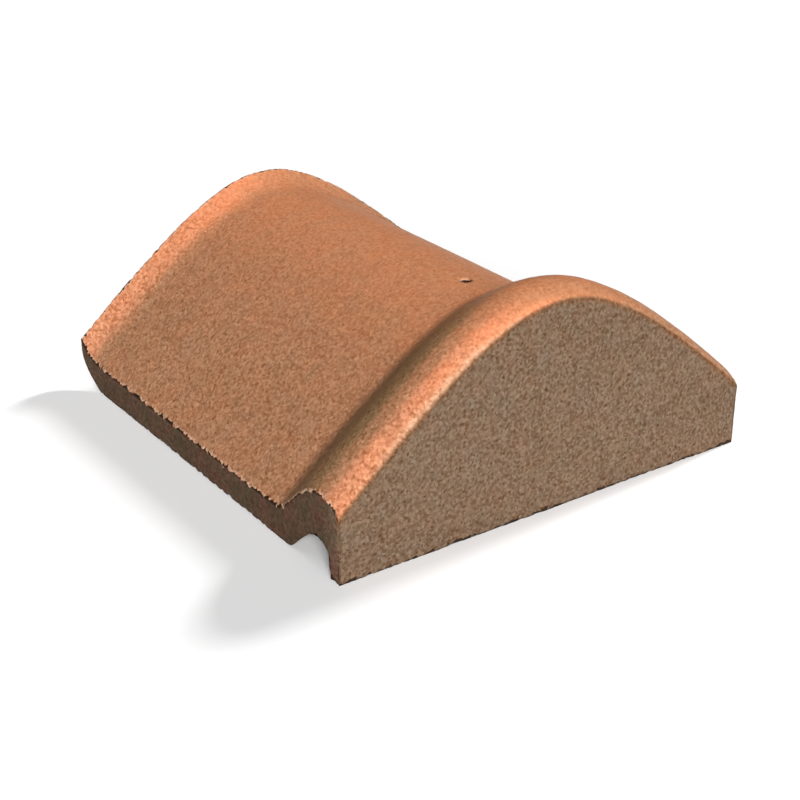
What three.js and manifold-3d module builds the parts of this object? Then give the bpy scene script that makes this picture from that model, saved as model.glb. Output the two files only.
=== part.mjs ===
// A closed-end ridge tile of cast concrete: the tile that starts or finishes a row along a ridge.
//
// It is one casting and open underneath. A saddle-shaped shell runs along the ridge. A round roll
// goes over it behind a flat end plate, and the open end turns up in a lip that the next tile laps.
//
// Millimetres. +Y runs along the ridge, from the end plate to the open end, +X is to the right and
// +Z is up. The origin is in the middle of the tile's footprint, on the surface that it stands on.

import * as THREE from "three";
import { mergeVertices } from "three/addons/utils/BufferGeometryUtils.js";
import Module from "manifold-3d";

const wasm = await Module();
wasm.setup();

// Overall sizes
const halfWidth = 140;
const length = 306;
const crownHeight = 109;
const wallThickness = 15.5;

// Saddle section of the plain run: three arcs that meet in line, from the crown to a long edge.
// An angle is the slope of the surface where its arc ends. The flank's arc ends at the long edge.
const crownArc = { radius: 65, endAngle: THREE.MathUtils.degToRad(23.3), steps: 7 };
const shoulderArc = { radius: 192, endAngle: THREE.MathUtils.degToRad(36.4), steps: 5 };
const flankArc = { radius: 858, steps: 4 };

// Top of the tile along the ridge, as a rise above the plain run. Distances are from the end face.
const faceRise = 14;
const rollRise = 20.2;
const rollTop = 17.2;
const rollNose = { out: 2.6, up: 2.8, flat: 9.1 };
const rollBack = { flat: 19.4, level: 10.7 };
const grooveEnd = 62.4;
const lipStart = 279;
const lipRadius = 51;

// Underside along the ridge, as a lift above the plain underside.
const plateThickness = 8.6;
const plateFillet = { start: 9, across: 10.9 };
const rollHollow = { lift: 16.1, fallStart: 12.5, fallEnd: { back: 12, lift: 2 }, end: 54 };
const bevelStart = 274;
const bevel = { back: 15, lift: 5, tipLift: 11.5, edgeLift: 21, overhang: 0.7 };

// Nail hole through the crown, just behind the groove
const nailHoleRadius = 3.3;
const nailHoleDistance = 82;

// Matt terracotta-coloured face of the concrete, as sRGB parts of one
const terracottaColour = [0.70, 0.48, 0.35];
const terracottaRoughness = 0.95;

// Fineness of the curves
const noseSteps = 7;
const grooveSteps = 14;
const lipSteps = 7;
const filletSteps = 6;
const hollowSteps = 9;
const bevelSteps = 8;
const holeSides = 20;

// How far a cutting body reaches past the faces that it cuts
const clearance = 12;

// The arcs' centres, each on the line through the last one's end so that the slopes agree.
const arcs = [crownArc, shoulderArc, flankArc];
let centre = new THREE.Vector2(0, crownHeight - crownArc.radius);
arcs.forEach((arc, index) => {
  if (index > 0) {
    const last = arcs[index - 1];
    const inward = last.radius - arc.radius;
    const normal = new THREE.Vector2(Math.sin(last.endAngle), Math.cos(last.endAngle));
    centre = centre.clone().addScaledVector(normal, inward);
  }
  arc.centre = centre;
});

// One half of the section, raised along its own normal by offset, from the crown out to x = reach.
function halfSection(offset, reach) {
  const points = [new THREE.Vector2(0, crownHeight + offset)];
  let startAngle = 0;
  for (const arc of arcs) {
    const radius = arc.radius + offset;
    const endAngle = arc.endAngle ?? Math.asin((reach - arc.centre.x) / radius);
    for (let step = 1; step <= arc.steps; step += 1) {
      const angle = THREE.MathUtils.lerp(startAngle, endAngle, step / arc.steps);
      points.push(new THREE.Vector2(
        arc.centre.x + radius * Math.sin(angle),
        arc.centre.y + radius * Math.cos(angle),
      ));
    }
    startAngle = endAngle;
  }
  return points;
}

// A closed ring: the whole section from the left edge to the right, then square down to z = base.
function sectionRing(offset, reach, base) {
  const right = halfSection(offset, reach);
  const left = right.slice(1).reverse().map((point) => new THREE.Vector2(-point.x, point.y));
  const corners = [new THREE.Vector2(reach, base), new THREE.Vector2(-reach, base)];
  return [...left, ...right, ...corners];
}

// A closed body through rings of equal length, each standing at its own distance along the ridge.
function loft(rings, distances) {
  const count = rings[0].length;
  const positions = rings.flatMap((ring, row) => ring.flatMap((p) => [p.x, distances[row], p.y]));
  const indices = [];
  for (let row = 0; row < rings.length - 1; row += 1) {
    for (let column = 0; column < count; column += 1) {
      const next = (column + 1) % count;
      const a = row * count + column;
      const b = row * count + next;
      indices.push(a, b, a + count, b, b + count, a + count);
    }
  }
  const lastRow = (rings.length - 1) * count;
  for (const [a, b, c] of THREE.ShapeUtils.triangulateShape(rings[0], [])) {
    indices.push(a, b, c);
  }
  for (const [a, b, c] of THREE.ShapeUtils.triangulateShape(rings.at(-1), [])) {
    indices.push(lastRow + a, lastRow + c, lastRow + b);
  }
  const geometry = new THREE.BufferGeometry();
  geometry.setAttribute("position", new THREE.Float32BufferAttribute(positions, 3));
  geometry.setIndex(indices);
  return geometry;
}

// The top's rise along the ridge: the roll's nose, its back running out in the groove, the plain
// run, and the lip as a circular arc.
function topProfile() {
  const lipAngle = Math.asin((length - lipStart) / lipRadius);
  const nose = new THREE.CubicBezierCurve(
    new THREE.Vector2(0, faceRise),
    new THREE.Vector2(rollNose.out, faceRise + rollNose.up),
    new THREE.Vector2(rollTop - rollNose.flat, rollRise),
    new THREE.Vector2(rollTop, rollRise),
  );
  const groove = new THREE.CubicBezierCurve(
    new THREE.Vector2(rollTop, rollRise),
    new THREE.Vector2(rollTop + rollBack.flat, rollRise),
    new THREE.Vector2(grooveEnd - rollBack.level, 0),
    new THREE.Vector2(grooveEnd, 0),
  );
  const lip = new THREE.EllipseCurve(
    lipStart, lipRadius, lipRadius, lipRadius, -Math.PI / 2, lipAngle - Math.PI / 2,
  );
  return [
    ...nose.getPoints(noseSteps),
    ...groove.getPoints(grooveSteps).slice(1),
    ...lip.getPoints(lipSteps),
  ];
}

// The underside's lift along the ridge: a fillet behind the end plate, the hollow under the roll,
// the plain run, and the bevel that thins the lip, carried on past the open end.
function undersideProfile() {
  const hollowTop = plateThickness + plateFillet.across;
  const tip = length + bevel.overhang;
  const fillet = new THREE.EllipseCurve(
    hollowTop, plateFillet.start, plateFillet.across, rollHollow.lift - plateFillet.start,
    Math.PI, Math.PI / 2, true,
  );
  const hollow = new THREE.CubicBezierCurve(
    new THREE.Vector2(hollowTop, rollHollow.lift),
    new THREE.Vector2(hollowTop + rollHollow.fallStart, rollHollow.lift),
    new THREE.Vector2(rollHollow.end - rollHollow.fallEnd.back, rollHollow.fallEnd.lift),
    new THREE.Vector2(rollHollow.end, 0),
  );
  const thinning = new THREE.CubicBezierCurve(
    new THREE.Vector2(bevelStart, 0),
    new THREE.Vector2(tip - bevel.back, bevel.lift),
    new THREE.Vector2(tip, bevel.tipLift),
    new THREE.Vector2(tip, bevel.edgeLift),
  );
  return [
    ...fillet.getPoints(filletSteps),
    ...hollow.getPoints(hollowSteps).slice(1),
    ...thinning.getPoints(bevelSteps),
    new THREE.Vector2(length + clearance, bevel.edgeLift + clearance),
  ];
}

// The block under the top surface, down to the plane that the tile stands on
function outerBlock() {
  const profile = topProfile();
  const rings = profile.map((point) => sectionRing(point.y, halfWidth, 0));
  return loft(rings, profile.map((point) => point.x));
}

// Everything under the underside, wide and deep enough to cut right through the block
function hollowBlock() {
  const profile = undersideProfile();
  const reach = halfWidth + clearance;
  const rings = profile.map((point) => sectionRing(point.y - wallThickness, reach, -2 * clearance));
  return loft(rings, profile.map((point) => point.x));
}

// The nail hole's upright cylinder, through the crown of the plain run
function nailHole() {
  const depth = wallThickness + 2 * clearance;
  const geometry = new THREE.CylinderGeometry(nailHoleRadius, nailHoleRadius, depth, holeSides);
  geometry.rotateX(Math.PI / 2);
  geometry.translate(0, nailHoleDistance, crownHeight - wallThickness / 2);
  return geometry;
}

function toSolid(geometry) {
  const bare = geometry.clone();
  bare.deleteAttribute("normal");
  bare.deleteAttribute("uv");
  const merged = mergeVertices(bare);
  const vertProperties = new Float32Array(merged.getAttribute("position").array);
  const triVerts = new Uint32Array(merged.getIndex().array);
  return new wasm.Manifold(new wasm.Mesh({ numProp: 3, vertProperties, triVerts }));
}

function toGeometry(solid) {
  const mesh = solid.getMesh();
  const geometry = new THREE.BufferGeometry();
  geometry.setAttribute("position", new THREE.BufferAttribute(mesh.vertProperties, 3));
  geometry.setIndex(new THREE.BufferAttribute(mesh.triVerts, 1));
  geometry.computeVertexNormals();
  return geometry;
}

function ridgeTile() {
  const casting = toSolid(outerBlock())
    .subtract(toSolid(hollowBlock()))
    .subtract(toSolid(nailHole()));
  const terracotta = new THREE.MeshStandardMaterial({
    color: new THREE.Color().setRGB(...terracottaColour, THREE.SRGBColorSpace),
    roughness: terracottaRoughness,
    metalness: 0,
  });
  const mesh = new THREE.Mesh(toGeometry(casting), terracotta);
  mesh.name = "ridge_tile";
  mesh.position.y = -length / 2;
  return mesh;
}

const model = new THREE.Group();
model.add(ridgeTile());

export default model;
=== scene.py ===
"""A closed-end concrete ridge tile, finished for a studio view.

The tile is one casting: a saddle-shaped shell with a round roll behind its flat end plate, an
upturned lip at its open end and a nail hole in its crown. Its upper face wears a terracotta
coating, and its end plate, cut edges and underside show bare, sandy concrete.

Shapes are worked out in millimetres, measured from the end face, and set down in the frame's metres.
"""

import logging
import math
from dataclasses import dataclass, field
from enum import Enum

import bpy
import numpy as np
from mathutils import Matrix, Vector


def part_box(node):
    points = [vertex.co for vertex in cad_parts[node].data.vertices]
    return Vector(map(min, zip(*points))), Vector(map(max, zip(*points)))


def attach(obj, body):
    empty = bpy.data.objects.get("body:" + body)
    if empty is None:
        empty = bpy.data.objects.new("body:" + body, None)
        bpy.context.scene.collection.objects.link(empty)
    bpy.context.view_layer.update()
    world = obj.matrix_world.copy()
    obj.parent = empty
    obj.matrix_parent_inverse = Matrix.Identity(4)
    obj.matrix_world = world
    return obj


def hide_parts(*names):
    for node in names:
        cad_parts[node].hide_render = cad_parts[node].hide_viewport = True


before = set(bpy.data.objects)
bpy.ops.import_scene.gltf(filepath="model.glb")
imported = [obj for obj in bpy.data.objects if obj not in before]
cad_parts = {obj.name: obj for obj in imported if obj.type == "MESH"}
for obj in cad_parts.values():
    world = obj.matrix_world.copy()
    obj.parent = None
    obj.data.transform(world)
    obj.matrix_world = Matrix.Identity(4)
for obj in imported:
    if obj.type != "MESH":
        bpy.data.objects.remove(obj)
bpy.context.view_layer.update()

NODE = "ridge_tile"
BODY = "root"
MILLIMETRE = 0.001
CURVE_POINTS = 65
AXIS_KEYS = (73856093, 19349663, 83492791)
SEED_KEY = 2654435761
STIR_KEY = 2246822519
STIR_SHIFT = 15
WORD = 0xFFFFFFFF
TINY = 1e-9
MERGE_DIGITS = 4
LEAST_FACTOR = 0.05
LOG = logging.getLogger("ridge tile")

Array = np.ndarray
Range = tuple[float, float]
Triple = tuple[float, float, float]
Colour = tuple[float, float, float, float]


def bezier(start: tuple, leave: tuple, arrive: tuple, end: tuple) -> Array:
    """Give the points of a cubic Bezier curve.

    Formula: the four points are blended with the weights (1-t)^3, 3t(1-t)^2, 3t^2(1-t) and t^3.

    Args:
        start: First point.
        leave: Point that the curve leaves towards.
        arrive: Point that the curve arrives from.
        end: Last point.

    Returns:
        Two columns, one row for each point.
    """
    t = np.linspace(0.0, 1.0, CURVE_POINTS)[:, None]
    s = 1.0 - t
    weights = (s ** 3, 3 * t * s ** 2, 3 * t ** 2 * s, t ** 3)
    return sum(w * np.array(p, float) for w, p in zip(weights, (start, leave, arrive, end)))


def arc(centre: tuple, radii: tuple, first: float, last: float) -> Array:
    """Give the points of an elliptical arc.

    Formula: the centre plus the two radii times the cosine and the sine of an even run of angles.

    Args:
        centre: Centre of the arc.
        radii: Half-width and half-height.
        first: First angle, in radians.
        last: Last angle, in radians.

    Returns:
        Two columns, one row for each point.
    """
    angle = np.linspace(first, last, CURVE_POINTS)
    turned = np.stack([np.cos(angle), np.sin(angle)], axis=-1)
    return np.array(centre, float) + turned * np.array(radii, float)


def even_points(path: Array, count: int) -> Array:
    """Give points at even steps along a path.

    Formula: the length so far is summed along the path, and each column is read off at even
    fractions of the whole length.

    Args:
        path: The path's points, two columns.
        count: Number of steps.

    Returns:
        One more point than steps, the path's two ends among them.
    """
    steps = np.hypot(*np.diff(path, axis=0).T)
    run = np.concatenate([[0.0], np.cumsum(steps)])
    at = np.linspace(0.0, run[-1], count + 1)
    return np.stack([np.interp(at, run, path[:, 0]), np.interp(at, run, path[:, 1])], axis=-1)


def join_stretches(stretches: list[Array]) -> Array:
    """Join stretches whose ends meet, keeping each shared point once."""
    return np.concatenate([stretches[0]] + [stretch[1:] for stretch in stretches[1:]])


def smooth_step(values: Array, low: float, high: float) -> Array:
    """Rise from 0 at low to 1 at high with level ends, by the weight 3t^2 - 2t^3."""
    t = np.clip((values - low) / (high - low), 0.0, 1.0)
    return t * t * (3.0 - 2.0 * t)


def smooth_window(values: Array, rise: Range, fall: Range) -> Array:
    """Rise from 0 to 1 over one range and fall back to 0 over a later one, by smooth steps."""
    return smooth_step(values, *rise) * (1.0 - smooth_step(values, *fall))


def lattice_noise(points: Array, size: float, seed: int) -> Array:
    """Give smooth random values between -1 and 1.

    Formula: space is cut into cubes. Each corner of a cube has a value made from its own address,
    stirred twice within a 32-bit word, and the eight corners round a point are blended with the
    weight 3t^2 - 2t^3 along each axis.

    Args:
        points: Places, three columns.
        size: Side of a cube.
        seed: Number that picks the pattern.

    Returns:
        One value for each point.
    """
    cell = points / size
    base = np.floor(cell).astype(np.int64)
    part = cell - base
    part = part * part * (3.0 - 2.0 * part)
    total = np.zeros(len(points))
    for corner in np.ndindex(2, 2, 2):
        address = (base + np.array(corner)).astype(np.uint64)
        key = (address * np.array(AXIS_KEYS, np.uint64)).sum(axis=1)
        key = (key + np.uint64(seed * SEED_KEY)) & np.uint64(WORD)
        for _ in range(2):
            key = (key ^ (key >> np.uint64(STIR_SHIFT))) * np.uint64(STIR_KEY) & np.uint64(WORD)
        value = key.astype(float) / (WORD // 2) - 1.0
        weight = np.where(np.array(corner) == 1, part, 1.0 - part).prod(axis=1)
        total += value * weight
    return total


@dataclass(frozen=True)
class SaddleSection:
    """Half of the shell's section, as three arcs that meet in line from the crown to the edge."""

    crown_height: float
    radii: Triple = (65.0, 192.0, 858.0)
    slopes: Range = (math.radians(23.3), math.radians(36.4))

    def starts(self) -> tuple[Array, Array, Array]:
        """Give where each arc starts.

        Formula: each centre lies on the line through the last arc's end, so that the slopes agree,
        and each arc's length is its radius times the angle that it turns.

        Returns:
            The arcs' centres, the slopes at their starts and the lengths run before them.
        """
        centres = [np.array([0.0, self.crown_height - self.radii[0]])]
        slopes = np.array([0.0, *self.slopes])
        runs = [0.0]
        for i in (1, 2):
            normal = np.array([math.sin(slopes[i]), math.cos(slopes[i])])
            centres.append(centres[-1] + (self.radii[i - 1] - self.radii[i]) * normal)
            runs.append(runs[-1] + self.radii[i - 1] * (slopes[i] - slopes[i - 1]))
        return np.array(centres), slopes, np.array(runs)

    def run_to(self, reach: float, offset: Array) -> Array:
        """Give how far the section runs out to x = reach.

        Formula: on the last arc, the sine of the slope is the distance from the arc's centre
        across to the reach, over its radius plus the offset.

        Args:
            reach: Distance from the middle.
            offset: Distance of the surface outside the plain section, along its normal.

        Returns:
            The run along the plain section, for each offset.
        """
        centres, slopes, runs = self.starts()
        slope = np.arcsin((reach - centres[2, 0]) / (self.radii[2] + offset))
        return runs[2] + self.radii[2] * (slope - slopes[2])

    def points(self, run: Array, offset: Array) -> tuple[Array, Array]:
        """Give points on the section moved out along its normal.

        Formula: the slope grows with the run at one over the arc's radius. A point is the arc's
        centre plus its radius and the offset together, times the slope's sine and cosine.

        Args:
            run: Signed distance along the plain section from the crown.
            offset: Distance outside the plain section.

        Returns:
            The x and z of each point.
        """
        centres, slopes, runs = self.starts()
        piece = np.searchsorted(runs, np.abs(run), side="right") - 1
        radius = np.array(self.radii)[piece]
        slope = slopes[piece] + (np.abs(run) - runs[piece]) / radius
        x = np.sign(run) * (centres[piece, 0] + (radius + offset) * np.sin(slope))
        z = centres[piece, 1] + (radius + offset) * np.cos(slope)
        return x, z


@dataclass(frozen=True)
class RidgeLine:
    """The tile along the ridge: distances from the end face, and offsets from the plain shell."""

    length: float
    wall: float = 15.5
    face_rise: float = 14.0
    roll_rise: float = 20.2
    roll_top: float = 17.2
    nose_out: float = 2.6
    nose_up: float = 2.8
    nose_flat: float = 9.1
    back_flat: float = 19.4
    back_level: float = 10.7
    groove_end: float = 62.4
    lip_start: float = 279.0
    lip_radius: float = 51.0
    plate: float = 8.6
    fillet_lift: float = 9.0
    fillet_across: float = 10.9
    hollow_lift: float = 16.1
    hollow_flat: float = 12.5
    hollow_fall: Range = (12.0, 2.0)
    hollow_end: float = 54.0
    bevel_start: float = 274.0
    bevel_back: float = 14.5
    bevel_lifts: Triple = (5.0, 11.0, 17.5)
    hole_distance: float = 82.0
    hole_radius: float = 3.3

    @property
    def hollow_start(self) -> float:
        """Give where the hollow under the roll starts, behind the fillet."""
        return self.plate + self.fillet_across

    @property
    def rim_lift(self) -> float:
        """Give the lift of the rim's lower arris at the open end."""
        return self.bevel_lifts[-1]

    def nose(self) -> Array:
        """Give the roll's front, from the end face up to its top."""
        return bezier(
            (0.0, self.face_rise),
            (self.nose_out, self.face_rise + self.nose_up),
            (self.roll_top - self.nose_flat, self.roll_rise),
            (self.roll_top, self.roll_rise),
        )

    def groove(self) -> Array:
        """Give the roll's back, from its top out into the plain run."""
        return bezier(
            (self.roll_top, self.roll_rise),
            (self.roll_top + self.back_flat, self.roll_rise),
            (self.groove_end - self.back_level, 0.0),
            (self.groove_end, 0.0),
        )

    def lip(self) -> Array:
        """Give the lip, a circular arc that turns up to the open end."""
        turn = math.asin((self.length - self.lip_start) / self.lip_radius)
        centre = (self.lip_start, self.lip_radius)
        return arc(centre, (self.lip_radius, self.lip_radius), -math.pi / 2, turn - math.pi / 2)

    def lip_rise(self) -> float:
        """Give the lip's rise at the open end."""
        return float(self.lip()[-1, 1])

    def fillet(self) -> Array:
        """Give the underside's fillet between the end plate and the hollow under the roll."""
        centre = (self.hollow_start, self.fillet_lift)
        radii = (self.fillet_across, self.hollow_lift - self.fillet_lift)
        return arc(centre, radii, math.pi, math.pi / 2)

    def hollow(self) -> Array:
        """Give the underside's fall from the hollow under the roll to the plain run."""
        back, lift = self.hollow_fall
        return bezier(
            (self.hollow_start, self.hollow_lift),
            (self.hollow_start + self.hollow_flat, self.hollow_lift),
            (self.hollow_end - back, lift),
            (self.hollow_end, 0.0),
        )

    def bevel(self) -> Array:
        """Give the bevel that thins the lip from below."""
        leave, arrive, end = self.bevel_lifts
        return bezier(
            (self.bevel_start, 0.0),
            (self.length - self.bevel_back, leave),
            (self.length, arrive),
            (self.length, end),
        )


@dataclass(frozen=True)
class MeshSteps:
    """Numbers of steps in the tile's grids.

    The first twelve belong to the end face, the top and the cut edges. Those whose names start
    with under belong to the underside, whose two rows on the plate's foot stand at shares of its
    depth. The last two are the rings of the nail hole's wall, and half the side of the square
    block of cells that is bent into its rim.
    """

    face: int = 56
    side: int = 16
    across: int = 234
    nose: int = 14
    groove: int = 36
    to_hole: int = 14
    plain: int = 136
    lip: int = 24
    rim: int = 4
    plate_foot: int = 6
    plate_back: int = 7
    fillet: int = 9
    under_foot: Range = (0.3, 0.65)
    under_back: int = 20
    under_fillet: int = 6
    under_hollow: int = 12
    under_to_hole: int = 7
    under_plain: int = 49
    under_bevel: int = 10
    under_across: int = 76
    tube: int = 10
    hole_half: int = 2


class Winding(Enum):
    """Which way round a grid's triangles run."""

    OUTER = 1
    INNER = -1


def grid_triangles(index: Array, winding: Winding, keep: Array | None = None) -> Array:
    """Split a grid of vertex numbers into triangles.

    Formula: the cell from row r and column c becomes the triangles (r,c)-(r,c+1)-(r+1,c+1) and
    (r,c)-(r+1,c+1)-(r+1,c), or their reverse.

    Args:
        index: Vertex numbers, by row and column.
        winding: Which side the triangles face.
        keep: Which cells to keep, all by default.

    Returns:
        Three columns of vertex numbers.
    """
    a, b = index[:-1, :-1], index[:-1, 1:]
    d, c = index[1:, :-1], index[1:, 1:]
    cells = np.stack([a, b, c, a, c, d], axis=-1)
    if keep is not None:
        cells = cells[keep]
    triangles = cells.reshape(-1, 3)
    return triangles if winding is Winding.OUTER else triangles[:, ::-1]


def zip_triangles(outer: Array, outer_at: Array, inner: Array, inner_at: Array,
                  winding: Winding) -> Array:
    """Fill the strip between two lines of vertices with unequal counts.

    Formula: each step of one line makes a triangle with the point of the other line that has been
    reached by the middle of that step.

    Args:
        outer: Vertex numbers of the first line.
        outer_at: How far along each of them is.
        inner: Vertex numbers of the second line.
        inner_at: How far along each of them is.
        winding: Which side the triangles face.

    Returns:
        Three columns of vertex numbers.
    """
    outer_mid = (outer_at[1:] + outer_at[:-1]) / 2
    inner_mid = (inner_at[1:] + inner_at[:-1]) / 2
    near_inner = inner[np.searchsorted(inner_mid, outer_mid, side="right")]
    near_outer = outer[np.searchsorted(outer_mid, inner_mid, side="left")]
    first = np.stack([outer[:-1], outer[1:], near_inner], axis=-1)
    second = np.stack([near_outer, inner[1:], inner[:-1]], axis=-1)
    triangles = np.concatenate([first, second])
    return triangles if winding is Winding.OUTER else triangles[:, ::-1]


def ring_numbers(index: Array, row: int, column: int, half: int) -> Array:
    """Give the vertex numbers round a square block of a grid.

    Args:
        index: Vertex numbers, by row and column.
        row: Middle row of the block.
        column: Middle column of the block.
        half: Half of the block's side, in steps.

    Returns:
        The numbers in order, along the columns first, starting at the lowest row and column.
    """
    block = index[row - half:row + half + 1, column - half:column + half + 1]
    return np.concatenate([block[0, :-1], block[:-1, -1], block[-1, :0:-1], block[:0:-1, 0]])


def round_off(across: Array, along: Array, half: float, radius: float) -> tuple[Array, Array]:
    """Bend a square block of a grid into a disc.

    Formula: a point at a largest coordinate m moves to m times radius over half, in its own
    direction, and the move fades out by the smooth weight while m grows from the half to four
    times the half.

    Args:
        across: Distance from the block's middle in one direction.
        along: Distance from the block's middle in the other direction.
        half: Half of the block's side.
        radius: Radius of the disc.

    Returns:
        The two new distances.
    """
    largest = np.maximum(np.maximum(np.abs(across), np.abs(along)), TINY)
    scale = largest * radius / half / np.maximum(np.hypot(across, along), TINY)
    fade = smooth_step(largest, half, 4.0 * half)
    factor = scale * (1.0 - fade) + fade
    return across * factor, along * factor


@dataclass(frozen=True)
class Weathering:
    """Relief of the casting's surface, as heights in millimetres and sizes of its grains."""

    grain_height: float = 0.10
    grain_size: float = 2.9
    lump_height: float = 0.10
    lump_size: float = 8.0
    wave_height: float = 0.16
    wave_size: float = 45.0
    arris_wear: float = 0.25
    arris_bite: float = 1.2
    bite_size: float = 2.4
    bite_start: float = 0.05

    def height(self, points: Array, wear: Array) -> Array:
        """Give how far each point stands out along its normal.

        Formula: three lattice noises of falling size are added up, and an arris is worn back by a
        steady depth plus the bites where a fourth noise is high.

        Args:
            points: Places, in millimetres.
            wear: How worn each point is. From 1 up, an arris is worn back to the full depth.

        Returns:
            The heights, in millimetres.
        """
        grain = lattice_noise(points, self.grain_size, 1) * self.grain_height
        lump = lattice_noise(points, self.lump_size, 2) * self.lump_height
        wave = lattice_noise(points, self.wave_size, 3) * self.wave_height
        deep = np.maximum(lattice_noise(points, self.bite_size, 4) - self.bite_start, 0.0)
        worn = np.minimum(wear, 1.0) ** 2 * (self.arris_wear + deep * self.arris_bite)
        return grain + lump + wave - worn


@dataclass(frozen=True)
class ArrisWear:
    """How worn each arris is, from 0 for a sharp one to 1 for one that is worn back in full.

    Above 1 a surface is worn back no further and only gets more of the pits painted near black as
    shade.
    """

    cut_edge: float = 1.0
    beside_cut_edge: float = 0.6
    foot: float = 0.6
    above_foot: float = 0.5
    foot_corner: float = 0.4
    left_upright: float = 0.3
    right_upright: float = 0.5
    front: float = 0.1
    front_corner: float = 0.2
    corner_rows: int = 4
    open_end: float = 1.0
    hole_rim: float = 0.4
    # Past 1, so that the nail hole's wall gets more pits painted near black as shade.
    hole_wall: float = 1.2

    def outer(self, shape: tuple[int, int], face: int, side: int) -> Array:
        """Give the wear of the outer grid.

        Formula: each arris is a row or a column of the grid, and where two meet, the one that is
        set later holds.

        Args:
            shape: Numbers of rows and columns.
            face: Number of rows on the end face.
            side: Number of columns on each cut edge.

        Returns:
            The wear, by row and column.
        """
        worn = np.zeros(shape)
        worn[1, :] = self.above_foot
        worn[face:, [1, -2]] = self.beside_cut_edge
        worn[face:, [0, -1]] = self.cut_edge
        worn[0, :] = self.foot
        worn[face, :side] = self.left_upright
        worn[face, -side:] = self.right_upright
        worn[face:, [side, -side - 1]] = self.cut_edge
        worn[face:face + self.corner_rows, -side - 1] = self.front_corner
        worn[face, side:-side] = self.front
        worn[-1, :] = self.open_end
        worn[0, [0, -1]] = self.foot_corner
        return worn


@dataclass(frozen=True)
class CoatPaintedLight:
    """Light and shade painted into the coating: painted highlights on the nose and the lip, a paler
    painted highlight along the nose's arris, and painted shade in the groove behind the roll, along
    its bottom and on the nose's far end.

    Each range says where a change begins and where it is complete, in millimetres. Those whose
    names end in run are distances from the end face, and the others are distances to the right of
    the ridge.
    """

    nose_run: Range = (6.0, 17.0)
    nose_stop: Range = (-60.0, 0.0)
    far_start: Range = (0.0, 75.0)
    far_shade: float = 0.3
    pale_run: Range = (0.8, 5.0)
    pale_start: Range = (-145.0, -75.0)
    pale_stop: Range = (-25.0, 15.0)
    lip_run: Range = (281.0, 297.0)
    lip_stop: Range = (-40.0, 30.0)
    lip_highlight: float = 0.75
    groove_start_run: Range = (17.0, 26.0)
    groove_stop_run: Range = (47.0, 60.0)
    left_stop: Range = (-85.0, 15.0)
    right_start: Range = (45.0, 115.0)
    right_shade: float = 0.8
    bottom_start_run: Range = (42.0, 50.0)
    bottom_stop_run: Range = (53.0, 62.0)
    bottom_shade: float = 0.5

    def at(self, x: Array, y: Array) -> Array:
        """Give the light and shade painted into the coating.

        Formula: a painted highlight of 1 lies on the nose's left part and less on the lip, fading out
        over the crown, and the value rises up to 2 where the nose has its paler painted highlight.
        Painted shade is taken away in the groove, fading out towards the crown but for a line along
        the groove's bottom, and a little on the nose's far end.

        Args:
            x: Distances to the right of the ridge, in millimetres.
            y: Distances from the end face.

        Returns:
            The painted light of each point: 0 is plain, 1 a painted highlight, 2 a paler painted
                highlight and -1 painted shade.
        """
        nose = 1.0 - smooth_step(y, *self.nose_run)
        # The nose's painted highlight across the ridge: it fades out over the crown and falls below 0,
        # to painted shade, on the nose's far end.
        painted_highlight = 1.0 - smooth_step(x, *self.nose_stop) - self.far_shade * smooth_step(x, *self.far_start)
        # A paler painted highlight along the nose's arris, on the nose's left part.
        pale = smooth_window(x, self.pale_start, self.pale_stop)
        pale *= 1.0 - smooth_step(y, *self.pale_run)
        # A painted highlight on the lip's left part.
        lip = self.lip_highlight * smooth_step(y, *self.lip_run) * (1.0 - smooth_step(x, *self.lip_stop))
        # Painted shade in the groove behind the roll on both flanks, fading out at the crown, and in a
        # line along the groove's bottom.
        groove = smooth_window(y, self.groove_start_run, self.groove_stop_run)
        flanks = 1.0 - smooth_step(x, *self.left_stop)
        flanks += self.right_shade * smooth_step(x, *self.right_start)
        bottom = smooth_window(y, self.bottom_start_run, self.bottom_stop_run)
        painted_shade = np.maximum(groove * flanks, self.bottom_shade * bottom)
        return nose * painted_highlight + pale + lip - painted_shade


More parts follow.
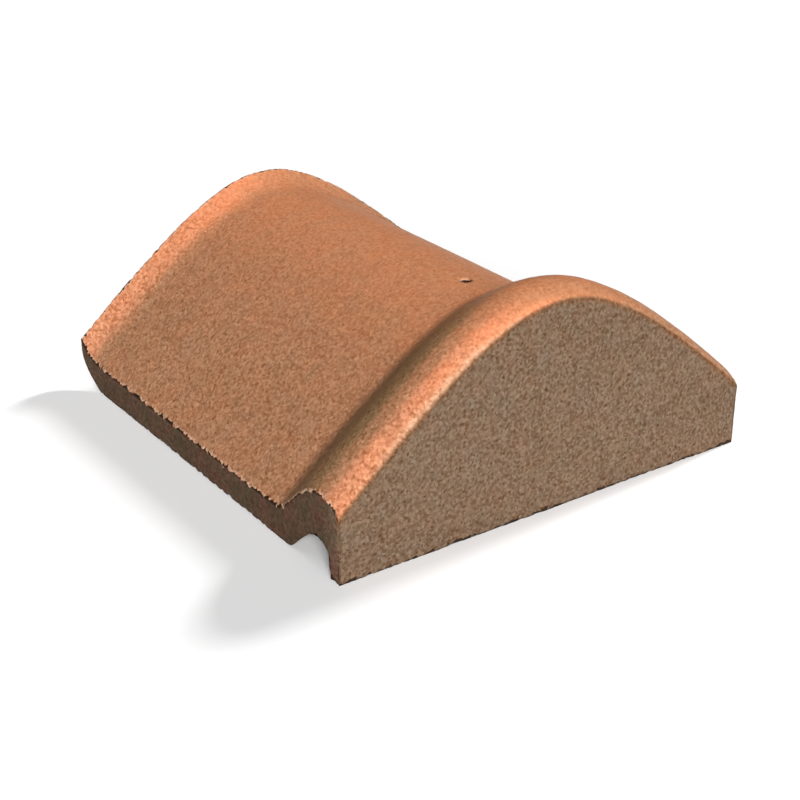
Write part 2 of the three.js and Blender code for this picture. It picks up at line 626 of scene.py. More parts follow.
@dataclass
class TileCasting:
    """The whole tile as one closed mesh.

    The underside's grid stops short of each cut edge by foot_inset. Its rows on the bevel start
    past the lip's start by bevel_gap, at bevel_share of the bevel's stretch of the cut edge.

    Each point's border is how far inside the coating's border it lies. It is rim_border at the
    nail hole's rim, falls by hole_fall down the hole's wall, and is bare_border on the underside.
    """

    half_width: float
    section: SaddleSection
    line: RidgeLine
    steps: MeshSteps = field(default_factory=MeshSteps)
    weathering: Weathering = field(default_factory=Weathering)
    arrises: ArrisWear = field(default_factory=ArrisWear)
    coat_painted_light: CoatPaintedLight = field(default_factory=CoatPaintedLight)
    foot_inset: float = 3.0
    bevel_gap: float = 1.0
    bevel_share: float = 0.08
    rim_border: float = 2.0
    hole_fall: float = 36.0
    bare_border: float = -20.0

    def top_rows(self) -> Array:
        """Give the distance and rise of each row of the top surface."""
        line, steps = self.line, self.steps
        return join_stretches([
            even_points(line.nose(), steps.nose),
            even_points(line.groove(), steps.groove),
            even_points(np.array([[line.groove_end, 0], [line.hole_distance, 0]]), steps.to_hole),
            even_points(np.array([[line.hole_distance, 0], [line.lip_start, 0]]), steps.plain),
            even_points(line.lip(), steps.lip),
        ])

    def under_height(self, lift: Array) -> Array:
        """Give the underside's height at the cut edge, no lower than the standing plane."""
        offset = lift - self.line.wall
        _, height = self.section.points(self.section.run_to(self.half_width, offset), offset)
        return np.maximum(height, 0.0)

    def edge_path(self, path: Array) -> Array:
        """Turn an underside path of distance and lift into distance and height at the cut edge."""
        return np.stack([path[:, 0], self.under_height(path[:, 1])], axis=-1)

    def cut_edge_stretches(self) -> list[Array]:
        """Give the cut edge's lower outline in stretches, each a path of distance and height."""
        line = self.line
        corner = (line.plate, self.under_height(np.array(line.fillet_lift)))
        shoulder = self.edge_path(np.concatenate([line.hollow(), [[line.groove_end, 0.0]]]))
        tip = self.edge_path(line.bevel()[-1:])[0]
        offset = np.array(line.lip_rise())
        _, top = self.section.points(self.section.run_to(self.half_width, offset), offset)
        start = max(line.bevel_start, line.lip_start)
        bevel = self.edge_path(line.bevel())
        bevel = np.concatenate([[[start, 0.0]], bevel[bevel[:, 0] > start]])
        return [
            np.array([[0.0, 0.0], [line.plate, 0.0]]),
            np.array([[line.plate, 0.0], corner]),
            self.edge_path(line.fillet()),
            shoulder,
            np.array([[line.groove_end, 0.0], [line.hole_distance, 0.0]]),
            np.array([[line.hole_distance, 0.0], [line.lip_start, 0.0]]),
            bevel,
            np.array([tip, [line.length, float(top)]]),
        ]

    def cut_edge_rows(self) -> tuple[Array, Array]:
        """Give the cut edge's lower outline at the top surface's rows.

        Returns:
            The distance and height of each row, and its place as a stretch number and fraction.
        """
        steps = self.steps
        rest = steps.nose + steps.groove - steps.plate_foot - steps.plate_back - steps.fillet
        counts = (steps.plate_foot, steps.plate_back, steps.fillet, rest, steps.to_hole,
                  steps.plain, steps.lip - steps.rim, steps.rim)
        stretches = self.cut_edge_stretches()
        rows = join_stretches([even_points(path, n) for path, n in zip(stretches, counts)])
        places = join_stretches([i + np.linspace(0, 1, n + 1)[:, None]
                                 for i, n in enumerate(counts)])
        return rows, places[:, 0]

    def outer_grid(self) -> Array:
        """Work out the end face, the two cut edges and the top as one grid.

        Formula: the first rows rule the flat end face from its bottom line up to its arch. The
        rows after them run along the ridge. Their outer columns rule each cut edge from its lower
        outline up to the arris, and their middle columns follow the section at the row's rise.

        Returns:
            Points by row and column, in millimetres from the end face.
        """
        steps = self.steps
        rows = self.top_rows()
        distance, rise = rows[:, :1], rows[:, 1:]
        share = np.linspace(-1.0, 1.0, steps.across + 1)[None, :]
        run = share * self.section.run_to(self.half_width, rise)
        along = np.broadcast_to(distance, run.shape)
        hole = self.line.hole_distance
        cell = float(np.diff(rows[:, 0])[steps.nose + steps.groove])
        run, moved = round_off(run, along - hole, steps.hole_half * cell, self.line.hole_radius)
        x, z = self.section.points(run, rise)
        top = np.stack([x, hole + moved, z], axis=-1)
        low, _ = self.cut_edge_rows()
        up = np.linspace(0.0, 1.0, steps.side + 1)[None, :, None]
        foot = np.stack([np.full(len(low), -self.half_width), low[:, 0], low[:, 1]], axis=-1)
        left = foot[:, None] * (1.0 - up) + top[:, :1] * up
        right = left[:, ::-1] * np.array([-1.0, 1.0, 1.0])
        sheet = np.concatenate([left[:, :-1], top, right[:, 1:]], axis=1)
        count = sheet.shape[1]
        base = np.zeros((count, 3))
        base[:, 0] = np.linspace(-self.half_width, self.half_width, count)
        level = np.linspace(0.0, 1.0, steps.face + 1)[:-1, None, None]
        face = base[None] * (1.0 - level) + sheet[:1] * level
        return np.concatenate([face, sheet])

    def inner_rows(self) -> tuple[Array, Array]:
        """Give the rows of the underside's grid.

        Formula: the rows go over the plate's foot and up its back, round the fillet, down the
        hollow, along the plain run to the nail hole and on to the lip, over the bevel, and half
        way up the rim. A stretch's number is the one that it has on the cut edge.

        Returns:
            For each row its distance, its offset from the plain section and the share of that
            height that it stands at, and its place as a stretch number and fraction.
        """
        line, steps = self.line, self.steps
        back = np.linspace(0.0, 1.0, steps.under_back + 1)
        fillet = even_points(line.fillet(), steps.under_fillet)[1:]
        hollow = even_points(line.hollow(), steps.under_hollow)[1:]
        ahead = np.linspace(line.hollow_end, line.hole_distance, steps.under_to_hole + 1)[1:]
        beyond = np.linspace(line.hole_distance, line.lip_start, steps.under_plain + 1)[1:]
        bevel = line.bevel()
        bevel = even_points(bevel[bevel[:, 0] > line.lip_start + self.bevel_gap], steps.under_bevel)
        rim = (line.rim_lift + line.lip_rise() + line.wall) / 2.0
        rows = [
            (line.plate * np.array(steps.under_foot), line.fillet_lift, 0.0),
            (line.plate, line.fillet_lift, back),
            (*fillet.T, 1.0),
            (*hollow.T, 1.0),
            (ahead, 0.0, 1.0),
            (beyond, 0.0, 1.0),
            (*bevel.T, 1.0),
            (np.array([line.length]), rim, 1.0),
        ]
        shoulder = (line.hollow_end - line.hollow_start) / (line.groove_end - line.hollow_start)
        marks = (line.hollow_end, line.groove_end, line.hole_distance)
        places = [
            np.array(steps.under_foot),
            1.0 + back,
            2.0 + np.linspace(0.0, 1.0, len(fillet) + 1)[1:],
            3.0 + np.linspace(0.0, shoulder, len(hollow) + 1)[1:],
            np.interp(ahead, marks, (3.0 + shoulder, 4.0, 5.0)),
            np.interp(beyond, (line.hole_distance, line.lip_start), (5.0, 6.0)),
            6.0 + np.linspace(self.bevel_share, 1.0, len(bevel)),
            np.array([7.5]),
        ]
        rows = [np.column_stack(np.broadcast_arrays(*row)) for row in rows]
        return np.concatenate(rows), np.concatenate(places)

    def inner_grid(self) -> tuple[Array, Array, int]:
        """Work out the plate's foot and back, the underside and the rim's middle as one grid.

        Formula: each row follows the section at the row's lift less the wall, no lower than the
        standing plane, and the rows on the plate's back stand at shares of that height.

        Returns:
            Points by row and column, each row's place along the cut edge, and the hole's row.
        """
        line, steps = self.line, self.steps
        rows, places = self.inner_rows()
        offset = rows[:, 1:2] - line.wall
        reach = self.half_width - self.foot_inset
        run = np.linspace(-1.0, 1.0, steps.under_across + 1) * self.section.run_to(reach, offset)
        plain_end = float(self.section.run_to(reach, np.array(-line.wall)))
        half = steps.hole_half * 2.0 * plain_end / steps.under_across
        from_hole = np.broadcast_to(rows[:, :1] - line.hole_distance, run.shape)
        run, from_hole = round_off(run, from_hole, half, line.hole_radius)
        x, z = self.section.points(run, offset)
        grid = np.stack([x, line.hole_distance + from_hole, np.maximum(z, 0.0) * rows[:, 2:]], axis=-1)
        return grid, places, int(np.argmin(np.abs(rows[:, 0] - line.hole_distance)))

    def surface(self) -> tuple[Array, Array, Array, Array]:
        """Join the outer grid, the underside's grid and the nail hole's wall.

        Returns:
            Points, triangles, each point's distance inside the coating's border, and its wear.
        """
        steps = self.steps
        outer = self.outer_grid()
        inner, inner_at, hole_row = self.inner_grid()
        index = np.arange(outer[..., 0].size).reshape(outer.shape[:2])
        under = index.size + np.arange(inner[..., 0].size).reshape(inner.shape[:2])
        half = steps.hole_half
        row = steps.face + steps.nose + steps.groove + steps.to_hole
        column = index.shape[1] // 2
        keep = np.ones((index.shape[0] - 1, index.shape[1] - 1), bool)
        keep[row - half:row + half, column - half:column + half] = False
        keep_under = np.ones((under.shape[0] - 1, under.shape[1] - 1), bool)
        middle = under.shape[1] // 2
        keep_under[hole_row - half:hole_row + half, middle - half:middle + half] = False
        top_ring = ring_numbers(index, row, column, half)
        low_ring = ring_numbers(under, hole_row, middle, half)
        points = np.concatenate([outer.reshape(-1, 3), inner.reshape(-1, 3)])
        depth = np.linspace(0.0, 1.0, steps.tube + 1)[1:-1, None, None]
        wall = points[top_ring] * (1.0 - depth) + points[low_ring] * depth
        rings = len(points) + np.arange(wall[..., 0].size).reshape(wall.shape[:2])
        tube = np.concatenate([top_ring[None], rings, low_ring[None]])
        tube = np.concatenate([tube, tube[:, :1]], axis=1)
        points = np.concatenate([points, wall.reshape(-1, 3)])
        _, outer_at = self.cut_edge_rows()
        face = steps.face
        width = np.linspace(-1.0, 1.0, index.shape[1])
        arch = np.linspace(-1.0, 1.0, steps.across + 1)
        low = np.linspace(-1.0, 1.0, under.shape[1])
        side = steps.side
        triangles = np.concatenate([
            grid_triangles(index, Winding.OUTER, keep),
            grid_triangles(under, Winding.INNER, keep_under),
            grid_triangles(tube, Winding.OUTER),
            zip_triangles(index[0], width, under[0], low, Winding.INNER),
            zip_triangles(index[-1, side:-side], arch, under[-1], low, Winding.OUTER),
            zip_triangles(index[face:, 0], outer_at, under[:, 0], inner_at, Winding.OUTER),
            zip_triangles(index[face:, -1], outer_at, under[:, -1], inner_at, Winding.INNER),
        ])
        border = np.full(len(points), self.bare_border)
        border[:index.size] = self.border(outer).reshape(-1)
        border[top_ring] = self.rim_border
        border[rings] = self.rim_border - self.hole_fall * depth[:, :, 0]
        wear = np.zeros(len(points))
        wear[:index.size] = self.arrises.outer(index.shape, face, side).reshape(-1)
        wear[top_ring] = self.arrises.hole_rim
        wear[rings] = self.arrises.hole_wall
        return points, triangles, border, wear

    def border(self, outer: Array) -> Array:
        """Give how far each point of the outer grid lies inside the coating's border.

        Formula: on the top it is the least of the distances to the four arrises, measured along
        the ridge's profile and along the section. On the end face and the cut edges it is the
        height above the arch's arris, which is negative.

        Args:
            outer: The outer grid's points.

        Returns:
            The distances, in millimetres, by row and column.
        """
        face, side = self.steps.face, self.steps.side
        arris = outer[face:face + 1, :, 2].copy()
        arris[:, :side] = arris[:, side:side + 1]
        arris[:, -side:] = arris[:, side:side + 1]
        border = np.minimum(outer[..., 2] - arris, 0.0)
        rows = self.top_rows()
        along = np.concatenate([[0.0], np.cumsum(np.hypot(*np.diff(rows, axis=0).T))])
        share = np.abs(np.linspace(-1.0, 1.0, self.steps.across + 1))[None, :]
        sideways = (1.0 - share) * self.section.run_to(self.half_width, rows[:, 1:])
        ends = np.minimum(along, along[-1] - along)[:, None]
        border[face:, side:-side] = np.minimum(sideways, ends)
        left = outer[face:, :side, 2] - outer[face:, side:side + 1, 2]
        border[face:, :side] = left
        border[face:, -side:] = left[:, ::-1]
        return border

    def build(self) -> bpy.types.Object:
        """Build the tile as a finished mesh object.

        Formula: points that share a place are merged. Each is moved along its normal, the sum of
        the normals of the triangles round it, by the weathering's height.

        Returns:
            The tile, standing in the frame.
        """
        points, triangles, border, wear = self.surface()
        _, first, place = np.unique(np.round(points, MERGE_DIGITS), axis=0, return_index=True,
                                    return_inverse=True)
        triangles = place.reshape(-1)[triangles]
        points, border, wear = points[first], border[first], wear[first]
        a, b, c = triangles.T
        triangles = triangles[(a != b) & (b != c) & (c != a)]
        corners = points[triangles]
        facing = np.cross(corners[:, 1] - corners[:, 0], corners[:, 2] - corners[:, 0])
        normals = np.zeros_like(points)
        for axis in range(3):
            for corner in range(3):
                normals[:, axis] += np.bincount(triangles[:, corner], facing[:, axis], len(points))
        normals /= np.maximum(np.linalg.norm(normals, axis=1, keepdims=True), TINY)
        # The coating's painted highlights and painted shade, kept on each point.
        painted_light = self.coat_painted_light.at(points[:, 0], points[:, 1])
        points = points + normals * self.weathering.height(points, wear)[:, None]
        points[:, 2] = np.maximum(points[:, 2], 0.0)
        points[:, 1] -= self.line.length / 2
        mesh = bpy.data.meshes.new("tile")
        mesh.from_pydata((points * MILLIMETRE).tolist(), [], triangles.tolist())
        mesh.polygons.foreach_set("use_smooth", np.ones(len(triangles), bool))
        for name, values in (("border", border), ("wear", wear), ("painted_light", painted_light)):
            attribute = mesh.attributes.new(name, "FLOAT", "POINT")
            attribute.data.foreach_set("value", values.astype(np.float32))
        mesh.update()
        tile = bpy.data.objects.new("tile", mesh)
        bpy.context.scene.collection.objects.link(tile)
        LOG.info("tile: %d points, %d triangles", len(points), len(triangles))
        return tile


class Value:
    """A shader socket that can be used in sums."""

    def __init__(self, sheet: "ShaderSheet", socket: bpy.types.NodeSocket) -> None:
        """Keep the sheet that the socket is on, and the socket."""
        self.sheet = sheet
        self.socket = socket

    def __add__(self, other: "Value | float") -> "Value":
        """Add a value or a number."""
        return self.sheet.math("ADD", self, other)

    def __sub__(self, other: "Value | float") -> "Value":
        """Take a value or a number away."""
        return self.sheet.math("SUBTRACT", self, other)

    def __mul__(self, other: "Value | float") -> "Value":
        """Multiply by a value or a number."""
        return self.sheet.math("MULTIPLY", self, other)

    def __rsub__(self, other: float) -> "Value":
        """Take this value away from a number."""
        return self.sheet.math("SUBTRACT", other, self)

    __radd__ = __add__
    __rmul__ = __mul__


class ShaderSheet:
    """The node tree of a material or a world, with a short way to add nodes."""

    def __init__(self, owner: bpy.types.Material | bpy.types.World) -> None:
        """Start an empty node tree in a material or a world."""
        owner.use_nodes = True
        self.tree = owner.node_tree
        self.tree.nodes.clear()

    def add(self, kind: str, settings: dict | None = None, output: str | int = 0,
            **inputs: object) -> Value:
        """Add a node.

        Args:
            kind: The node's type.
            settings: Its own properties, set before its sockets.
            output: Which output to give back.
            inputs: Its sockets' values or links. A socket goes by its name, with underscores for
                spaces, or by i and its number.

        Returns:
            The chosen output.
        """
        node = self.tree.nodes.new(kind)
        for name, value in (settings or {}).items():
            setattr(node, name, value)
        for name, value in inputs.items():
            socket = node.inputs[int(name[1:])] if name[1:].isdigit() else None
            socket = socket or next(s for s in node.inputs
                                    if s.enabled and s.name == name.replace("_", " "))
            if isinstance(value, Value):
                self.tree.links.new(value.socket, socket)
            else:
                socket.default_value = value
        return Value(self, node.outputs[output])

    def math(self, operation: str, first: Value | float, second: Value | float = 0.0) -> Value:
        """Add a Math node on two values."""
        return self.add("ShaderNodeMath", {"operation": operation}, i0=first, i1=second)

    def span(self, value: Value, low: float, high: float) -> Value:
        """Stretch the range from low to high over 0 to 1, with smooth ends."""
        return self.add("ShaderNodeMapRange", {"interpolation_type": "SMOOTHSTEP"},
                        Value=value, From_Min=low, From_Max=high)

    def noise(self, place: Value, size: float, detail: float = 2.0, rough: float = 0.6) -> Value:
        """Add a noise whose features are about size millimetres across."""
        return self.add("ShaderNodeTexNoise", {"noise_dimensions": "3D"}, Vector=place,
                        Scale=1.0 / (size * MILLIMETRE), Detail=detail, Roughness=rough)

    def cells(self, place: Value, size: float) -> Value:
        """Add packed grains about size millimetres across, each with its own random value."""
        return self.add("ShaderNodeTexVoronoi", {"feature": "F1"}, "Color", Vector=place,
                        Scale=1.0 / (size * MILLIMETRE))

    def blend(self, factor: Value, first: Value | Colour, second: Value | Colour) -> Value:
        """Mix two colours."""
        settings = {"data_type": "RGBA", "blend_type": "MIX", "clamp_factor": True}
        return self.add("ShaderNodeMix", settings, 2, i0=factor, i6=first, i7=second)

    def tint(self, factor: Value, colour: Value, by: Colour) -> Value:
        """Multiply a colour by another, in part."""
        settings = {"data_type": "RGBA", "blend_type": "MULTIPLY", "clamp_factor": True}
        return self.add("ShaderNodeMix", settings, 2, i0=factor, i6=colour, i7=by)

    def speckle(self, colour: Value, amount: Value, share: Triple) -> Value:
        """Shade a colour by an amount about 0.

        Formula: each of red, green and blue is multiplied by 1 plus its own share of the amount,
        but never by less than the least factor.

        Args:
            colour: The colour.
            amount: How much lighter or darker it gets.
            share: The amount's shares for red, green and blue.

        Returns:
            The shaded colour.
        """
        kind = "ShaderNodeVectorMath"
        change = self.add(kind, {"operation": "SCALE"}, i0=share, Scale=amount)
        factor = self.add(kind, {"operation": "ADD"}, i0=change, i1=(1.0, 1.0, 1.0))
        factor = self.add(kind, {"operation": "MAXIMUM"}, i0=factor, i1=(LEAST_FACTOR,) * 3)
        return self.add(kind, {"operation": "MULTIPLY"}, i0=colour, i1=factor)

    def finish(self, kind: str, surface: Value) -> None:
        """Lead a shader to an output node of the given type."""
        output = self.tree.nodes.new(kind)
        self.tree.links.new(surface.socket, output.inputs["Surface"])


@dataclass(frozen=True)
class ConcreteFinish:
    """Colours and grain of the tile's two faces, bare concrete and its terracotta coating, with
    painted highlights and painted shade laid over them.

    A range says where a change begins and where it is complete. Those whose names end in plane
    are places in metres, and those whose names end in border are distances in millimetres inside
    the coating's border.
    """

    # The flanks' brown and the crown's orange are shaded and lit copies of the one coating: painted
    # shade and painted light.
    coat_flank_shaded: Colour = (0.333, 0.158, 0.081, 1.0)
    coat_crown_lit: Colour = (0.452, 0.183, 0.086, 1.0)
    # Multiplier for the painted highlight on the nose and the lip.
    painted_highlight: Colour = (1.50, 1.26, 1.24, 1.0)
    # Multiplier for the paler painted highlight along the nose's arris.
    pale: Colour = (1.0, 1.37, 1.62, 1.0)
    # Colour of the painted shade in the groove, along its bottom and on the nose's far end.
    painted_shade: Colour = (0.255, 0.140, 0.064, 1.0)
    bare: Colour = (0.145, 0.0915, 0.0575, 1.0)
    smear: Colour = (1.0, 0.78, 0.60, 1.0)
    # The cut edges' painted shade, darker than the bare concrete.
    cut: Colour = (0.075, 0.0425, 0.025, 1.0)
    # Near black painted shade for pits and chips.
    pit_shade: Colour = (0.019, 0.010, 0.005, 1.0)
    # Painted glints of paler coating along the cut edges' arrises.
    arris_glint: Colour = (0.60, 0.38, 0.27, 1.0)
    coat_roughness: float = 0.55
    bare_roughness: float = 0.85
    gloss: float = 0.15
    bump_strength: float = 0.25
    bump_depth: float = 0.0006
    grain_size: float = 2.1
    grain_part: float = 0.6
    sand_size: float = 1.5
    tooth_size: float = 3.2
    tooth_detail: float = 1.0
    tooth_rough: float = 0.5
    tooth_depth: float = 8.0
    mottle_size: float = 14.0
    coat_contrast: float = 1.85
    bare_contrast: float = 2.05
    still_contrast: float = 0.9
    cut_stillness: float = 0.3
    bump_stillness: float = 0.8
    grain_share: Triple = (0.9, 1.15, 1.4)
    mottle_share: Triple = (0.24, -0.05, -0.22)
    cut_share: Triple = (0.8, -0.1, 0.4)
    smooth_start_plane: Range = (-0.11, -0.01)
    smooth_stop_plane: Range = (0.01, 0.12)
    cut_plane: Range = (0.1385, 0.139)
    behind_plane: Range = (-0.1515, -0.1485)
    dark_plane: Range = (-0.1515, -0.1355)
    front_darkness: float = 0.4
    foot_plane: Range = (0.0005, 0.0035)
    # Past 1, so that the end face's foot gets pits painted near black as shade.
    foot_wear: float = 1.1
    ragged_border: Range = (-0.1, 0.2)
    soft_border: Range = (-0.6, 2.2)
    smear_border: Range = (-3.2, -0.6)
    glint_border: Range = (0.9, 1.9)
    bite_border: Range = (-1.5, -0.5)
    glint_grain: Range = (0.46, 0.54)
    glint_strength: float = 0.6
    pit_shade_strength: float = 0.9
    chip_wear: Range = (0.05, 0.3)
    chip_chance: Range = (0.9, 1.1)
    tooth_chance: float = 2.5
    mottle_chance: float = 3.0

    def coating(self, sheet: ShaderSheet, smooth: Value, painted_light: Value) -> Value:
        """Give the coating's colour.

        Formula: it turns from the flanks' shaded brown to the crown's lit orange, painted shade and
        painted light, is tinted by the painted highlight as the painted light rises to 1 and by the
        paler one on to 2, and is blended with the painted shade as the painted light falls to -1.

        Args:
            sheet: The material's nodes.
            smooth: How smooth the coating is, which also sets how much of the crown's lit colour,
                painted light, it takes.
            painted_light: The painted highlight, above 0, and the painted shade, below 0, that it
                gets.

        Returns:
            The colour.
        """
        colour = sheet.blend(smooth, self.coat_flank_shaded, self.coat_crown_lit)
        colour = sheet.tint(sheet.span(painted_light, 0.0, 1.0), colour, self.painted_highlight)
        colour = sheet.tint(sheet.span(painted_light, 1.0, 2.0), colour, self.pale)
        return sheet.blend(sheet.span(painted_light, 0.0, -1.0), colour, self.painted_shade)

    def material(self) -> bpy.types.Material:
        """Make the material.

        Formula: the distance inside the border, made ragged by a noise behind the end face, decides
        between coating and bare concrete. On the cut edges the bare concrete is painted darker as
        shade, less so near the end face, and a little coating is smeared over the end face's arris.
        Grains of sand shade both and give the bump, less where the surface is smooth or cut. Painted
        glints of paler coating stand along the cut edges' arrises. Pits are painted near black as
        shade below them, on worn arrises, down the nail hole and along the end face's foot.

        Returns:
            The material.
        """
        material = bpy.data.materials.new("coated concrete")
        sheet = ShaderSheet(material)
        place = sheet.add("ShaderNodeTexCoord", None, "Object")
        across, along, up = (sheet.add("ShaderNodeSeparateXYZ", None, axis, Vector=place)
                             for axis in "XYZ")
        # painted_light holds the coating's painted highlights and painted shade.
        border, worn, painted_light = (sheet.add("ShaderNodeAttribute", {"attribute_name": name}, "Fac")
                              for name in ("border", "wear", "painted_light"))
        tooth = sheet.noise(place, self.tooth_size, self.tooth_detail, self.tooth_rough) - 0.5
        grain = sheet.noise(place, self.grain_size)
        mottle = sheet.noise(place, self.mottle_size) - 0.5
        sand = sheet.cells(place, self.sand_size)
        behind = sheet.span(along, *self.behind_plane)
        ragged = sheet.span(border + tooth * self.tooth_depth, *self.ragged_border)
        soft = sheet.span(border, *self.soft_border)
        coated = soft + behind * (ragged - soft)
        uncoated = 1.0 - coated
        at_cut = sheet.span(sheet.math("ABSOLUTE", across), *self.cut_plane)
        # Over the crown the coating takes its lit colour instead of the flanks' shaded one, as painted
        # light, and its grain is calmer.
        smooth = sheet.span(across, *self.smooth_start_plane)
        smooth = smooth * (1.0 - sheet.span(across, *self.smooth_stop_plane)) * coated
        still = sheet.math("MAXIMUM", smooth, at_cut * uncoated * self.cut_stillness)

        # Painted shade on the cut edges: the bare colour turns to the darker cut colour, 0.4 of the
        # way at the end face and fully from about 17 mm behind it.
        dark = sheet.span(along, *self.dark_plane) * (1.0 - self.front_darkness)
        bare = sheet.blend(at_cut * (dark + self.front_darkness), self.bare, self.cut)
        smear = (1.0 - behind) * sheet.span(border, *self.smear_border)
        bare = sheet.tint(smear, bare, self.smear)
        colour = sheet.blend(coated, bare, self.coating(sheet, smooth, painted_light))

        speck = grain * self.grain_part + sand * (1.0 - self.grain_part) - 0.5
        contrast = self.bare_contrast + coated * (self.coat_contrast - self.bare_contrast)
        contrast = contrast + still * (self.still_contrast - contrast)
        colour = sheet.speckle(colour, speck * contrast, self.grain_share)
        colour = sheet.speckle(colour, mottle, self.mottle_share)
        colour = sheet.speckle(colour, mottle * at_cut * uncoated, self.cut_share)

        # Painted glints: paler coating along the cut edges' arrises, where the grain is high.
        arris_glint = coated * behind * (1.0 - sheet.span(border, *self.glint_border))
        arris_glint = arris_glint * sheet.span(grain, *self.glint_grain)
        colour = sheet.blend(arris_glint * self.glint_strength, colour, self.arris_glint)
        # Painted shade, near black, in the bites below the coating on the cut edges and in chips on
        # worn arrises, down the nail hole and along the end face's foot.
        bite = uncoated * behind * sheet.span(border, *self.bite_border)
        foot = (1.0 - behind) * (1.0 - sheet.span(up, *self.foot_plane)) * self.foot_wear
        worn = sheet.math("MAXIMUM", worn, foot)
        chance = worn + tooth * self.tooth_chance + mottle * self.mottle_chance
        chip = sheet.span(chance, *self.chip_chance) * sheet.span(worn, *self.chip_wear) * uncoated
        pit_shade = sheet.math("MAXIMUM", bite, chip)
        colour = sheet.blend(pit_shade * self.pit_shade_strength, colour, self.pit_shade)

        bump = sheet.add("ShaderNodeBump", None, Strength=self.bump_strength,
                         Distance=self.bump_depth,
                         Height=speck * (1.0 - still * self.bump_stillness))
        roughness = self.bare_roughness + coated * (self.coat_roughness - self.bare_roughness)
        surface = sheet.add("ShaderNodeBsdfPrincipled", None, Base_Color=colour,
                            Roughness=roughness, Specular_IOR_Level=self.gloss, Normal=bump)
        sheet.finish("ShaderNodeOutputMaterial", surface)
        return material


@dataclass(frozen=True)
class Lamp:
    """One soft light of the studio."""

    name: str
    azimuth: float
    elevation: float
    brightness: float
    spread: float = 0.45
    glossy: bool = True


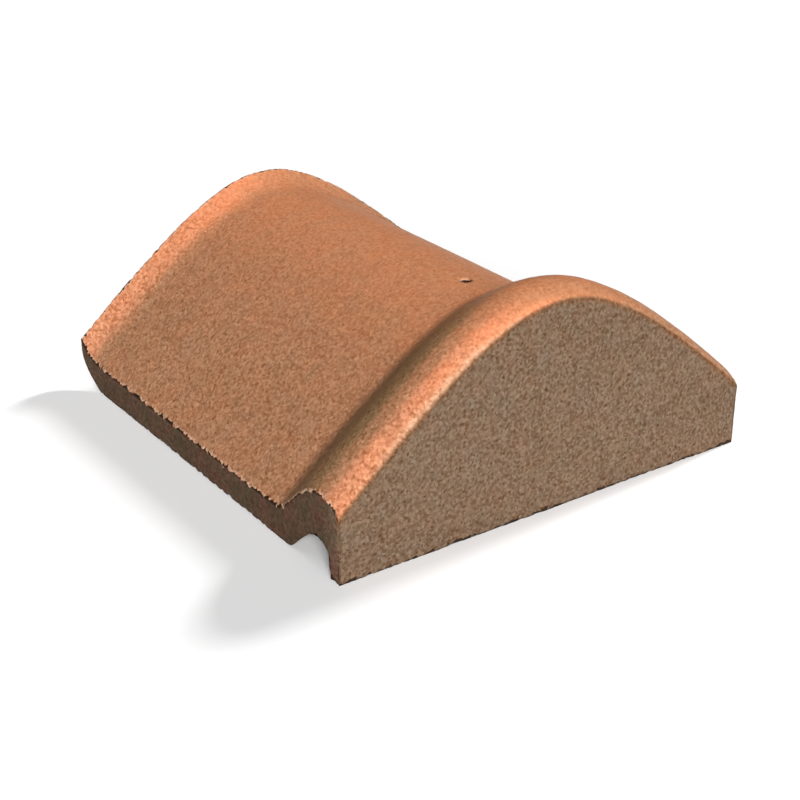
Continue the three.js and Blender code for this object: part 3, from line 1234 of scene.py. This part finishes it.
@dataclass(frozen=True)
class Studio:
    """Camera at the photograph's angle, soft lights, and a pale floor."""

    focal_pixels: float = 1553.6
    picture_pixels: float = 800.0
    sensor: float = 36.0
    azimuth: float = math.radians(-34.851)
    elevation: float = math.radians(25.539)
    roll: float = math.radians(-0.092)
    eye: Triple = (-0.4976, -0.5677, 0.4251)
    far_limit: float = 50.0
    surroundings: float = 0.04
    floor_half: float = 6.0
    floor_colour: Colour = (0.88, 0.88, 0.88, 1.0)
    floor_roughness: float = 0.9
    lamps: tuple[Lamp, ...] = (
        Lamp("key", math.radians(-31.0), math.radians(23.0), 1.41, glossy=False),
        Lamp("side", math.radians(96.0), math.radians(34.0), 0.80, spread=0.12, glossy=False),
        Lamp("top", math.radians(-25.0), math.radians(69.0), 0.21, spread=0.6),
    )

    def camera(self, end_face: float) -> None:
        """Set the camera up.

        Formula: it looks back along its azimuth and elevation, from a place measured from the
        middle of the end face's bottom line.

        Args:
            end_face: The end face's distance along the ridge, in the frame.
        """
        data = bpy.data.cameras.new("camera")
        data.sensor_width = self.sensor
        data.lens = self.focal_pixels / self.picture_pixels * self.sensor
        data.clip_end = self.far_limit
        camera = bpy.data.objects.new("camera", data)
        away = Vector((math.sin(self.azimuth) * math.cos(self.elevation),
                       -math.cos(self.azimuth) * math.cos(self.elevation),
                       math.sin(self.elevation)))
        right = Vector((0.0, 0.0, 1.0)).cross(away).normalized()
        up = away.cross(right)
        turned = math.cos(self.roll) * right + math.sin(self.roll) * up
        upright = math.cos(self.roll) * up - math.sin(self.roll) * right
        rotation = Matrix((turned, upright, away)).transposed().to_4x4()
        place = Vector(self.eye) + Vector((0.0, end_face, 0.0))
        camera.matrix_world = Matrix.Translation(place) @ rotation
        bpy.context.scene.collection.objects.link(camera)
        bpy.context.scene.camera = camera

    def light(self, lamp: Lamp) -> None:
        """Add a soft, distant light.

        Formula: it shines from a compass angle, counted from the end face towards the right, and
        an elevation. Its energy is pi times the brightness of a white card that faces it.

        Args:
            lamp: The light's place, brightness and softness.
        """
        data = bpy.data.lights.new(lamp.name, "SUN")
        data.angle = lamp.spread
        data.energy = math.pi * lamp.brightness
        level = math.cos(lamp.elevation)
        towards = Vector((math.sin(lamp.azimuth) * level, -math.cos(lamp.azimuth) * level,
                          math.sin(lamp.elevation)))
        item = bpy.data.objects.new(lamp.name, data)
        item.rotation_euler = towards.to_track_quat("Z", "Y").to_euler()
        item.visible_glossy = lamp.glossy
        bpy.context.scene.collection.objects.link(item)

    def floor(self) -> bpy.types.Object:
        """Lay the pale floor, well past the picture's edges.

        Returns:
            The floor.
        """
        half = self.floor_half
        mesh = bpy.data.meshes.new("floor")
        corners = [(-half, -half, 0.0), (half, -half, 0.0), (half, half, 0.0), (-half, half, 0.0)]
        mesh.from_pydata(corners, [], [(0, 1, 2, 3)])
        floor = bpy.data.objects.new("floor", mesh)
        material = bpy.data.materials.new("floor")
        sheet = ShaderSheet(material)
        surface = sheet.add("ShaderNodeBsdfPrincipled", None, Base_Color=self.floor_colour,
                            Roughness=self.floor_roughness, Specular_IOR_Level=0.0)
        sheet.finish("ShaderNodeOutputMaterial", surface)
        mesh.materials.append(material)
        bpy.context.scene.collection.objects.link(floor)
        return floor

    def world(self) -> None:
        """Light the scene evenly and faintly, behind a backdrop that looks as pale as the floor."""
        world = bpy.data.worlds.new("surroundings")
        sheet = ShaderSheet(world)
        seen = sheet.add("ShaderNodeLightPath", None, "Is Camera Ray")
        strength = self.surroundings + seen * (1.0 - self.surroundings)
        background = sheet.add("ShaderNodeBackground", None, Color=(1.0, 1.0, 1.0, 1.0),
                               Strength=strength)
        sheet.finish("ShaderNodeOutputWorld", background)
        bpy.context.scene.world = world

    def build(self, end_face: float) -> None:
        """Set the camera, the lights and the floor up.

        Args:
            end_face: The end face's distance along the ridge, in the frame.
        """
        bpy.context.scene.view_settings.view_transform = "Standard"
        self.camera(end_face)
        self.world()
        for lamp in self.lamps:
            self.light(lamp)
        self.floor()


def main() -> None:
    """Build the tile and the studio, and report each piece."""
    logging.basicConfig(level=logging.INFO, format="%(name)s: %(message)s")
    low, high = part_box(NODE)
    line = RidgeLine(length=(high[1] - low[1]) / MILLIMETRE)
    section = SaddleSection(crown_height=high[2] / MILLIMETRE - line.roll_rise)
    casting = TileCasting(high[0] / MILLIMETRE, section, line)
    tile = casting.build()
    tile.data.materials.append(ConcreteFinish().material())
    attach(tile, BODY)
    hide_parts(NODE)
    Studio().build(low[1])


if __name__ == "__main__":
    main()
